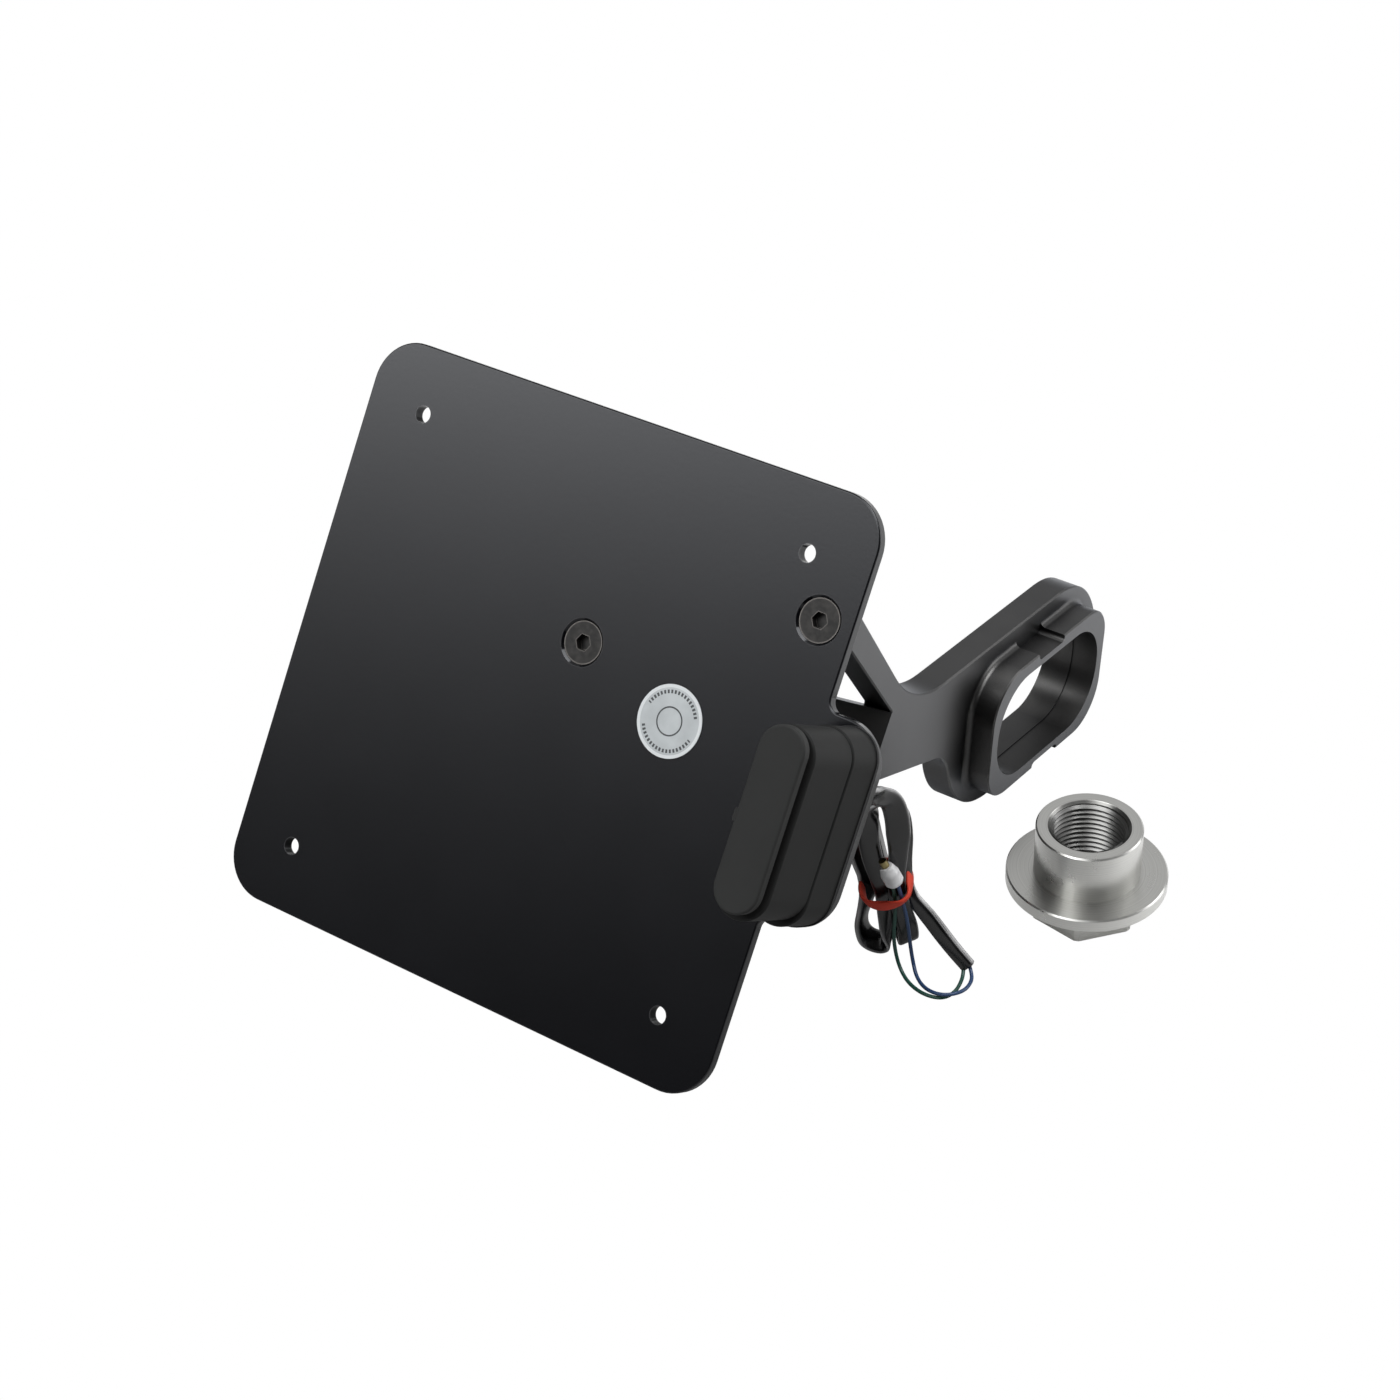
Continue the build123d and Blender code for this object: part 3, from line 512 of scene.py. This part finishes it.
def foil():
    """Silver foil disc with plain printed rings and tick marks."""
    material, tree, shader, vector = blank("disc_foil")
    turn = add(tree.nodes, "ShaderNodeMapping", vector_type="TEXTURE")
    turn.inputs["Location"].default_value = from_upright(*DISC_MIDDLE)
    turn.inputs["Rotation"].default_value = (-LEAN, 0, 0)
    tree.links.new(vector, turn.inputs["Vector"])
    x, _, z = split_vector(tree, turn.outputs[0])
    radius = radius_of(tree, x, z)
    angle = math_node(tree, "ARCTAN2", z, x)

    def ring(middle, half):
        off = math_node(tree, "ABSOLUTE", math_node(tree, "SUBTRACT", radius, middle))
        return math_node(tree, "LESS_THAN", off, half)

    ticks = math_node(tree, "SINE", math_node(tree, "MULTIPLY", angle, TICK_COUNT))
    ticks = math_node(tree, "GREATER_THAN", ticks, TICK_LEVEL)
    arcs = math_node(tree, "ABSOLUTE", math_node(tree, "SINE", angle))
    arcs = math_node(tree, "GREATER_THAN", arcs, ARC_LEVEL)
    ticks = math_node(tree, "MULTIPLY", math_node(tree, "MULTIPLY", ticks, arcs),
                      ring(TICK_RING, TICK_HALF))
    print_mask = math_node(tree, "MAXIMUM", ticks, ring(INNER_RING, INNER_HALF))
    rim = math_node(tree, "GREATER_THAN", radius, RIM_RADIUS)
    grain = group_node(tree, grain_group(), Vector=vector, Scale=900.0, Slow_scale=120.0, Bump=0.25,
                       Reach=0.00008)
    colour = ramp(tree, grain.outputs["Mottle"], 0.3, 0.7, (0.42, 0.45, 0.465), (0.53, 0.565, 0.58))
    colour = mix_colours(tree, rim, colour, (0.70, 0.73, 0.745, 1))
    colour = mix_colours(tree, print_mask, colour, (0.05, 0.055, 0.06, 1))
    tree.links.new(colour, shader.inputs["Base Color"])
    tree.links.new(grain.outputs["Normal"], shader.inputs["Normal"])
    shader.inputs["Roughness"].default_value = 0.45
    return material


def paint(node_name, material):
    """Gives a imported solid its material."""
    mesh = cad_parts[node_name].data
    mesh.materials.clear()
    mesh.materials.append(material)


# Mesh and curve builders
def mesh_piece(name, verts, faces, material, slot):
    mesh = bpy.data.meshes.new(name)
    mesh.from_pydata(verts, [], faces)
    mesh.materials.append(material)
    mesh.shade_smooth()
    piece = bpy.data.objects.new(name, mesh)
    bpy.context.scene.collection.objects.link(piece)
    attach(piece, "root")
    return piece


def spline_curve(name, points, bevel=0.0):
    curve = bpy.data.curves.new(name, "CURVE")
    curve.dimensions = "3D"
    curve.resolution_u = 12
    curve.bevel_depth = bevel
    curve.bevel_resolution = 4
    curve.use_fill_caps = True
    spline = curve.splines.new("NURBS")
    spline.points.add(len(points) - 1)
    for target, p in zip(spline.points, points):
        target.co = (*p, 1)
    spline.order_u = 3
    spline.use_endpoint_u = True
    piece = bpy.data.objects.new(name, curve)
    bpy.context.scene.collection.objects.link(piece)
    return piece


def spline_path(points):
    """Points read from the route's own smooth spline."""
    curve = spline_curve("route_reader", points)
    mesh = bpy.data.meshes.new_from_object(curve)
    path = [v.co.copy() for v in mesh.vertices]
    data = curve.data
    bpy.data.objects.remove(curve)
    bpy.data.curves.remove(data)
    bpy.data.meshes.remove(mesh)
    return path


def closed_path(points, steps):
    """Points of a smooth closed curve through the given ones."""
    path = []
    count = len(points)
    for i in range(count):
        a, b = points[i - 1], points[i]
        c, d = points[(i + 1) % count], points[(i + 2) % count]
        for k in range(steps):
            t = k / steps
            path.append(0.5 * (2 * b + (c - a) * t + (2 * a - 5 * b + 4 * c - d) * t * t
                               + (3 * b - a - 3 * c + d) * t ** 3))
    return path


def at_share(values, share):
    """A value between its neighbours in a list, where a quadratic spline is nearest to them."""
    place = min(max(share * (len(values) - 2) + 0.5, 0), len(values) - 1)
    low = min(int(place), len(values) - 2)
    t = place - low
    return values[low] * (1 - t) + values[low + 1] * t


def flat_section(angle, side_power, face_power):
    """A point of a flat section with round corners, from -1 to 1 each way."""
    c, s = math.cos(angle), math.sin(angle)
    return math.copysign(abs(c) ** side_power, c), math.copysign(abs(s) ** face_power, s)


def strap(name, route, material, slot):
    """Flat lead swept along its spline, with its own width direction at each point."""
    path = spline_path([by_hank(r[0]) for r in route])
    turn = Matrix.Rotation(HANK_TURN, 3, "Z")
    sides = [(turn @ Vector(r[1])).normalized() for r in route]
    for i in range(1, len(sides)):
        if sides[i].dot(sides[i - 1]) < 0:
            sides[i] = -sides[i]
    half_widths = [r[2] / 2000 for r in route]
    half_thicks = [r[3] / 2000 for r in route]
    verts, faces, folds = [], [], []
    for i, p in enumerate(path):
        ahead = path[min(i + 1, len(path) - 1)] - path[max(i - 1, 0)]
        ahead.normalize()
        share = i / (len(path) - 1)
        side = at_share(sides, share)
        side = (side - ahead * side.dot(ahead)).normalized()
        over = ahead.cross(side)
        half_width, half_thick = at_share(half_widths, share), at_share(half_thicks, share)
        for k in range(STRAP_SIDES):
            angle = 2 * math.pi * k / STRAP_SIDES
            reach = abs(math.cos(angle))
            # Strength of the painted highlight: full on the folds, faint beside them.
            folds.append(1.0 if reach > 0.99 else 0.3 if reach > 0.9 else 0.0)
            c, s = flat_section(angle, 0.55, 0.75)
            verts.append(p + side * c * half_width + over * s * half_thick)
    for i in range(len(path) - 1):
        for k in range(STRAP_SIDES):
            a, b = i * STRAP_SIDES + k, i * STRAP_SIDES + (k + 1) % STRAP_SIDES
            faces.append((a, b, b + STRAP_SIDES, a + STRAP_SIDES))
    faces.append(tuple(range(STRAP_SIDES - 1, -1, -1)))
    last = (len(path) - 1) * STRAP_SIDES
    faces.append(tuple(range(last, last + STRAP_SIDES)))
    piece = mesh_piece(name, verts, faces, material, slot)
    piece.data.attributes.new("fold", "FLOAT", "POINT").data.foreach_set("value", folds)
    return piece, path


def band_mesh(width, thickness):
    """Corners and faces of the flat band, which twists a little on its way round the hank."""
    centre = by_hank(BAND_CENTRE)
    axis = (Matrix.Rotation(HANK_TURN, 3, "Z") @ Matrix.Rotation(-BAND_ROLL, 3, "Y")
            @ Matrix.Rotation(BAND_PITCH, 3, "X") @ Vector((0, 0, 1)))
    path = closed_path([by_hank(p) for p in BAND], BAND_STEPS)
    count = len(path)
    verts, faces = [], []
    for i, p in enumerate(path):
        out = p - centre
        out = (out - axis * out.dot(axis)).normalized()
        tilt = BAND_TWIST * math.sin(3 * 2 * math.pi * i / count)
        wide = (axis + out * tilt).normalized()
        thin = (out - axis * tilt).normalized()
        for k in range(BAND_SIDES):
            c, s = flat_section(2 * math.pi * k / BAND_SIDES, 0.6, 0.8)
            verts.append(p + wide * c * width / 2 + thin * s * thickness / 2)
    for i in range(count):
        here, there = i * BAND_SIDES, (i + 1) % count * BAND_SIDES
        for k in range(BAND_SIDES):
            m = (k + 1) % BAND_SIDES
            faces.append((here + k, there + k, there + m, here + m))
    return verts, faces


def thread_mesh(start, end, pitch, depth):
    """Corners and faces of the nut's ridges, wound up along the wall of its bore."""
    steps = int((end - start) / pitch) * THREAD_SIDES
    verts, faces = [], []
    for i in range(steps + 1):
        a = 2 * math.pi * i / THREAD_SIDES
        z = start + pitch * i / THREAD_SIDES
        for share, inward in THREAD_PROFILE:
            r = BORE_WALL - inward * depth
            verts.append((NUT.x + r * math.cos(a), NUT.y + r * math.sin(a), z + share * pitch))
    for i in range(steps):
        for k in range(3):
            a = i * 4 + k
            faces.append((a, a + 1, a + 5, a + 4))
    return verts, faces


# Settings
class HolderSettings(bpy.types.PropertyGroup):
    top_light: FloatProperty(
        name="Top light", description="Power of the soft light above", default=16.0, unit="POWER")
    softbox: FloatProperty(
        name="Softbox", description="Most brightness of the room's high front left side",
        default=4.0)
    softbox_rise: FloatProperty(
        name="Softbox rise", description="How steeply that side brightens upwards", default=16.0)
    softbox_side: FloatProperty(
        name="Softbox side", description="How steeply it brightens to the left", default=8.5)
    softbox_start: FloatProperty(
        name="Softbox start", description="Sum of both steps where it has brightness 1",
        default=10.65)
    right_light: FloatProperty(
        name="Right light", description="Power of the softbox at the right", default=4.0,
        unit="POWER")
    front_room: FloatProperty(
        name="Front of room", description="Brightness of the room behind the camera", default=0.05)
    back_room: FloatProperty(
        name="Back of room", description="Brightness of the backdrop's side", default=0.60)
    floor_glow: FloatProperty(
        name="Floor glow", description="Light that the white floor adds of its own", default=0.05)
    lens: FloatProperty(
        name="Lens", description="Focal length of the camera in millimetres", default=76.651,
        unit="CAMERA")
    plate_dark: FloatVectorProperty(
        name="Plate dark", description="Darker shade of the plate's coat", subtype="COLOR",
        default=(0.0016, 0.0017, 0.0026))
    plate_light: FloatVectorProperty(
        name="Plate light", description="Lighter shade of the plate's coat", subtype="COLOR",
        default=(0.0024, 0.0025, 0.0036))
    bracket_dark: FloatVectorProperty(
        name="Bracket dark", description="Darker shade of the bracket's metal", subtype="COLOR",
        default=(0.116, 0.115, 0.114))
    bracket_light: FloatVectorProperty(
        name="Bracket light", description="Lighter shade of the bracket's metal", subtype="COLOR",
        default=(0.127, 0.126, 0.125))
    green_skin: FloatVectorProperty(
        name="Green wire", description="Colour of the green wire's skin", subtype="COLOR",
        default=(0.012, 0.070, 0.050))
    blue_skin: FloatVectorProperty(
        name="Blue wire", description="Colour of the blue wire's skin", subtype="COLOR",
        default=(0.026, 0.062, 0.155))
    band_dark: FloatVectorProperty(
        name="Band dark", description="Darker shade of the rubber band", subtype="COLOR",
        default=(0.46, 0.030, 0.012))
    band_light: FloatVectorProperty(
        name="Band light", description="Lighter shade of the rubber band", subtype="COLOR",
        default=(0.62, 0.050, 0.022))
    band_width: FloatProperty(
        name="Band width", description="Width of the rubber band", default=0.0042, unit="LENGTH")
    band_thickness: FloatProperty(
        name="Band thickness", description="Thickness of the rubber band", default=0.0014,
        unit="LENGTH")
    thread_pitch: FloatProperty(
        name="Thread pitch", description="Step of the nut's thread", default=0.002, unit="LENGTH")
    thread_depth: FloatProperty(
        name="Thread depth", description="How far the ridges stand in", default=0.0010,
        unit="LENGTH")


def settings():
    return bpy.context.scene.holder_settings


# Operators, with the builders that only they use
class HOLDER_OT_camera(bpy.types.Operator):
    """Camera solved from the plate's own corners and holes"""
    bl_idname = "holder.camera"
    bl_label = "Camera"

    def execute(self, context):
        camera = bpy.data.cameras.new("camera")
        camera.lens = settings().lens
        camera.sensor_width = SENSOR_WIDTH
        holder = bpy.data.objects.new("camera", camera)
        right, up = upright_turn(CAMERA_RIGHT), upright_turn(CAMERA_UP)
        turn = Matrix((right, up, right.cross(up))).transposed()
        place = from_upright(*CAMERA_PLACE)
        holder.matrix_world = Matrix.Translation(place) @ turn.to_4x4()
        context.scene.collection.objects.link(holder)
        context.scene.camera = holder
        return {"FINISHED"}


def seen_apart(tree, lit, seen, output):
    """Ends a tree in one shader for the light it gives and another for what the camera sees."""
    path = add(tree.nodes, "ShaderNodeLightPath")
    mix = add(tree.nodes, "ShaderNodeMixShader")
    tree.links.new(path.outputs["Is Camera Ray"], mix.inputs[0])
    tree.links.new(lit.outputs[0], mix.inputs[1])
    tree.links.new(seen.outputs[0], mix.inputs[2])
    tree.links.new(mix.outputs[0], tree.nodes[output].inputs[0])


def room_world(s):
    """Room light: bright behind the row, and brightest high at the front left."""
    world = bpy.data.worlds.new("room")
    world.use_nodes = True
    tree = world.node_tree
    back = tree.nodes["Background"]
    coords = add(tree.nodes, "ShaderNodeTexCoord")
    x, y, z = split_vector(tree, coords.outputs["Generated"])
    deep = smooth_range(tree, y, *BACK_DEPTH, s.front_room, s.back_room)
    deep = math_node(tree, "MULTIPLY", deep, smooth_range(tree, z, *BACK_RISE, 0.5, 1.0))
    front = smooth_range(tree, y, *FRONT_DEPTH, 0, 1)
    up = math_node(tree, "MULTIPLY", z, s.softbox_rise)
    left = math_node(tree, "MULTIPLY", x, -s.softbox_side)
    rise = math_node(tree, "SUBTRACT", math_node(tree, "ADD", up, left), s.softbox_start)
    high = math_node(tree, "MINIMUM", math_node(tree, "EXPONENT", rise), s.softbox)
    box = math_node(tree, "MULTIPLY", front, high)
    tree.links.new(math_node(tree, "ADD", deep, box), back.inputs[1])
    back.inputs[0].default_value = (1, 1, 1, 1)
    seen = add(tree.nodes, "ShaderNodeBackground")
    seen.inputs[0].default_value = (1, 1, 1, 1)
    seen_apart(tree, back, seen, "World Output")
    return world


def floor_white(s):
    """Floor that the camera sees as plain white and the row sees with a painted shadow that darkens
    it towards the front.
    """
    material, tree, shader, vector = blank("floor_white")
    depth = split_vector(tree, vector)["Y"]
    # Painted shadow: the floor's colour darkens towards the front.
    shade = smooth_range(tree, depth, *FLOOR_DEPTH, *FLOOR_PAINTED_SHADOW)
    tree.links.new(shade, shader.inputs["Base Color"])
    shader.inputs["Roughness"].default_value = 0.9
    grain = group_node(tree, grain_group(), Vector=vector, Scale=60.0, Bump=0.05)
    tree.links.new(grain.outputs["Normal"], shader.inputs["Normal"])
    shader.inputs["Emission Color"].default_value = (1, 1, 1, 1)
    shader.inputs["Emission Strength"].default_value = s.floor_glow
    seen_apart(tree, shader, add(tree.nodes, "ShaderNodeEmission"), "Material Output")
    return material


def soft_light(name, place, size, power):
    light = bpy.data.lights.new(name, "AREA")
    light.shape = "RECTANGLE"
    light.size, light.size_y = size
    light.energy = power
    piece = bpy.data.objects.new(name, light)
    piece.location = place
    aim = (Vector(LIGHT_AIM) - Vector(place)).to_track_quat("-Z", "Y")
    piece.rotation_euler = aim.to_euler()
    bpy.context.scene.collection.objects.link(piece)


class HOLDER_OT_stage(bpy.types.Operator):
    """White floor, room light and soft studio lights"""
    bl_idname = "holder.stage"
    bl_label = "Stage"

    def execute(self, context):
        s = settings()
        scene = context.scene
        scene.view_settings.view_transform = "Standard"
        scene.world = room_world(s)
        r, z = FLOOR_REACH, FLOOR - FLOOR_GAP
        floor_mesh = bpy.data.meshes.new("floor")
        floor_mesh.from_pydata([(-r, -r, z), (r, -r, z), (r, r, z), (-r, r, z)], [], [(0, 1, 2, 3)])
        floor_mesh.materials.append(floor_white(s))
        floor = bpy.data.objects.new("floor", floor_mesh)
        scene.collection.objects.link(floor)
        soft_light("light_top", TOP_PLACE, TOP_SIZE, s.top_light)
        soft_light("light_right", RIGHT_PLACE, RIGHT_SIZE, s.right_light)
        return {"FINISHED"}


class HOLDER_OT_plate(bpy.types.Operator):
    """Coat of the base plate, its screws and the foil disc"""
    bl_idname = "holder.plate"
    bl_label = "Plate"

    def execute(self, context):
        s = settings()
        paint("base_plate", plate_paint(s.plate_dark, s.plate_light))
        paint("plate_screws", black_oxide())
        paint("info_disc", foil())
        return {"FINISHED"}


class HOLDER_OT_bracket(bpy.types.Operator):
    """Anodised skin of the bracket"""
    bl_idname = "holder.bracket"
    bl_label = "Bracket"

    def execute(self, context):
        s = settings()
        paint("bracket", bracket_anodised(s.bracket_dark, s.bracket_light))
        return {"FINISHED"}


class HOLDER_OT_light(bpy.types.Operator):
    """Plate light with its seal, window, board, sources, fixings and grommet"""
    bl_idname = "holder.light"
    bl_label = "Plate light"

    def execute(self, context):
        plastic = light_plastic("light_plastic", 0.016)
        paint("light_base", plastic)
        paint("light_body", plastic)
        # The cap takes a lighter copy of the same plastic, as painted light.
        paint("light_cap", light_plastic("cap_plastic_painted_light", 0.028))
        seal = rubber("seal_rubber", (0.006, 0.006, 0.006), (0.010, 0.010, 0.010))
        paint("light_gasket", seal)
        paint("cable_grommet", seal)
        paint("plate_lens", clear_plastic())
        paint("light_board",
              coated("board_mask", (0.01, 0.09, 0.03), (0.015, 0.13, 0.05), 0.35, 800, 0.2))
        paint("light_leds",
              coated("led_yellow", (0.75, 0.70, 0.30), (0.85, 0.80, 0.42), 0.25, 900, 0.1))
        metal = fixing_steel()
        paint("light_fixings", metal)
        paint("fixing_washers", metal)
        return {"FINISHED"}


class HOLDER_OT_lead(bpy.types.Operator):
    """Flat lead from the grommet through its hank to the sleeve's end"""
    bl_idname = "holder.lead"
    bl_label = "Lead"

    def execute(self, context):
        piece, path = strap("flat_lead", LEAD, lead_skin(), "lead_sleeve")
        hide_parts("lead", "lead_hank", "sleeve_end")
        return {"FINISHED"}


class HOLDER_OT_wires(bpy.types.Operator):
    """Green and blue wires from the sleeve to the connector, and the connector's skins"""
    bl_idname = "holder.wires"
    bl_label = "Wires"

    def execute(self, context):
        s = settings()
        for name, route, colour, length in (
            ("green", GREEN, s.green_skin, 0.0771),
            ("blue", BLUE, s.blue_skin, 0.0776),
        ):
            piece = spline_curve(f"{name}_wire", [by_hank(p) for p in route], WIRE_RADIUS)
            piece.data.materials.append(wire_skin(f"{name}_skin", colour))
            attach(piece, "root")
            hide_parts(f"wire_{name}")
        paint("connector_shell", connector_skin())
        paint("connector_terminal", brass())
        return {"FINISHED"}


class HOLDER_OT_band(bpy.types.Operator):
    """Red rubber band that holds the hank"""
    bl_idname = "holder.band"
    bl_label = "Rubber band"

    def execute(self, context):
        s = settings()
        skin = rubber("band_red", s.band_dark, s.band_light)
        band = band_mesh(s.band_width, s.band_thickness)
        piece = mesh_piece("red_band", *band, skin, "band_red")
        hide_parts("rubber_band")
        return {"FINISHED"}


class HOLDER_OT_nut(bpy.types.Operator):
    """Turned axle nut with its inner thread"""
    bl_idname = "holder.nut"
    bl_label = "Axle nut"

    def execute(self, context):
        s = settings()
        paint("axle_nut", turned_steel("nut_turned", (0.56, 0.56, 0.54), (0.65, 0.65, 0.63)))
        metal = turned_steel("nut_thread_steel", (0.50, 0.50, 0.49), (0.70, 0.70, 0.69))
        low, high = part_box("axle_nut")
        start, end = low.z + THREAD_FOOT, high.z - THREAD_TOP
        thread = thread_mesh(start, end, s.thread_pitch, s.thread_depth)
        piece = mesh_piece("nut_thread", *thread, metal, "nut_steel")
        piece.data.set_sharp_from_angle(angle=math.radians(30))
        return {"FINISHED"}


class HOLDER_PT_panel(bpy.types.Panel):
    """Settings of the holder and a button for each operator"""
    bl_label = "Plate Holder"
    bl_idname = "HOLDER_PT_panel"
    bl_space_type = "VIEW_3D"
    bl_region_type = "UI"
    bl_category = "Plate Holder"

    def draw(self, context):
        for name in HolderSettings.__annotations__:
            self.layout.prop(context.scene.holder_settings, name)
        for operator in OPERATORS:
            self.layout.operator(operator.bl_idname)


OPERATORS = (
    HOLDER_OT_camera, HOLDER_OT_stage, HOLDER_OT_plate, HOLDER_OT_bracket, HOLDER_OT_light,
    HOLDER_OT_lead, HOLDER_OT_wires, HOLDER_OT_band, HOLDER_OT_nut,
)


def register():
    bpy.utils.register_class(HolderSettings)
    for operator in OPERATORS:
        bpy.utils.register_class(operator)
    bpy.utils.register_class(HOLDER_PT_panel)
    bpy.types.Scene.holder_settings = PointerProperty(type=HolderSettings)


def unregister():
    del bpy.types.Scene.holder_settings
    bpy.utils.unregister_class(HOLDER_PT_panel)
    for operator in reversed(OPERATORS):
        bpy.utils.unregister_class(operator)
    bpy.utils.unregister_class(HolderSettings)


def main():
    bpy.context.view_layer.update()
    register()
    bpy.ops.holder.camera()
    bpy.ops.holder.stage()
    bpy.ops.holder.plate()
    bpy.ops.holder.bracket()
    bpy.ops.holder.light()
    bpy.ops.holder.lead()
    bpy.ops.holder.wires()
    bpy.ops.holder.band()
    bpy.ops.holder.nut()


if __name__ == "__main__":
    main()
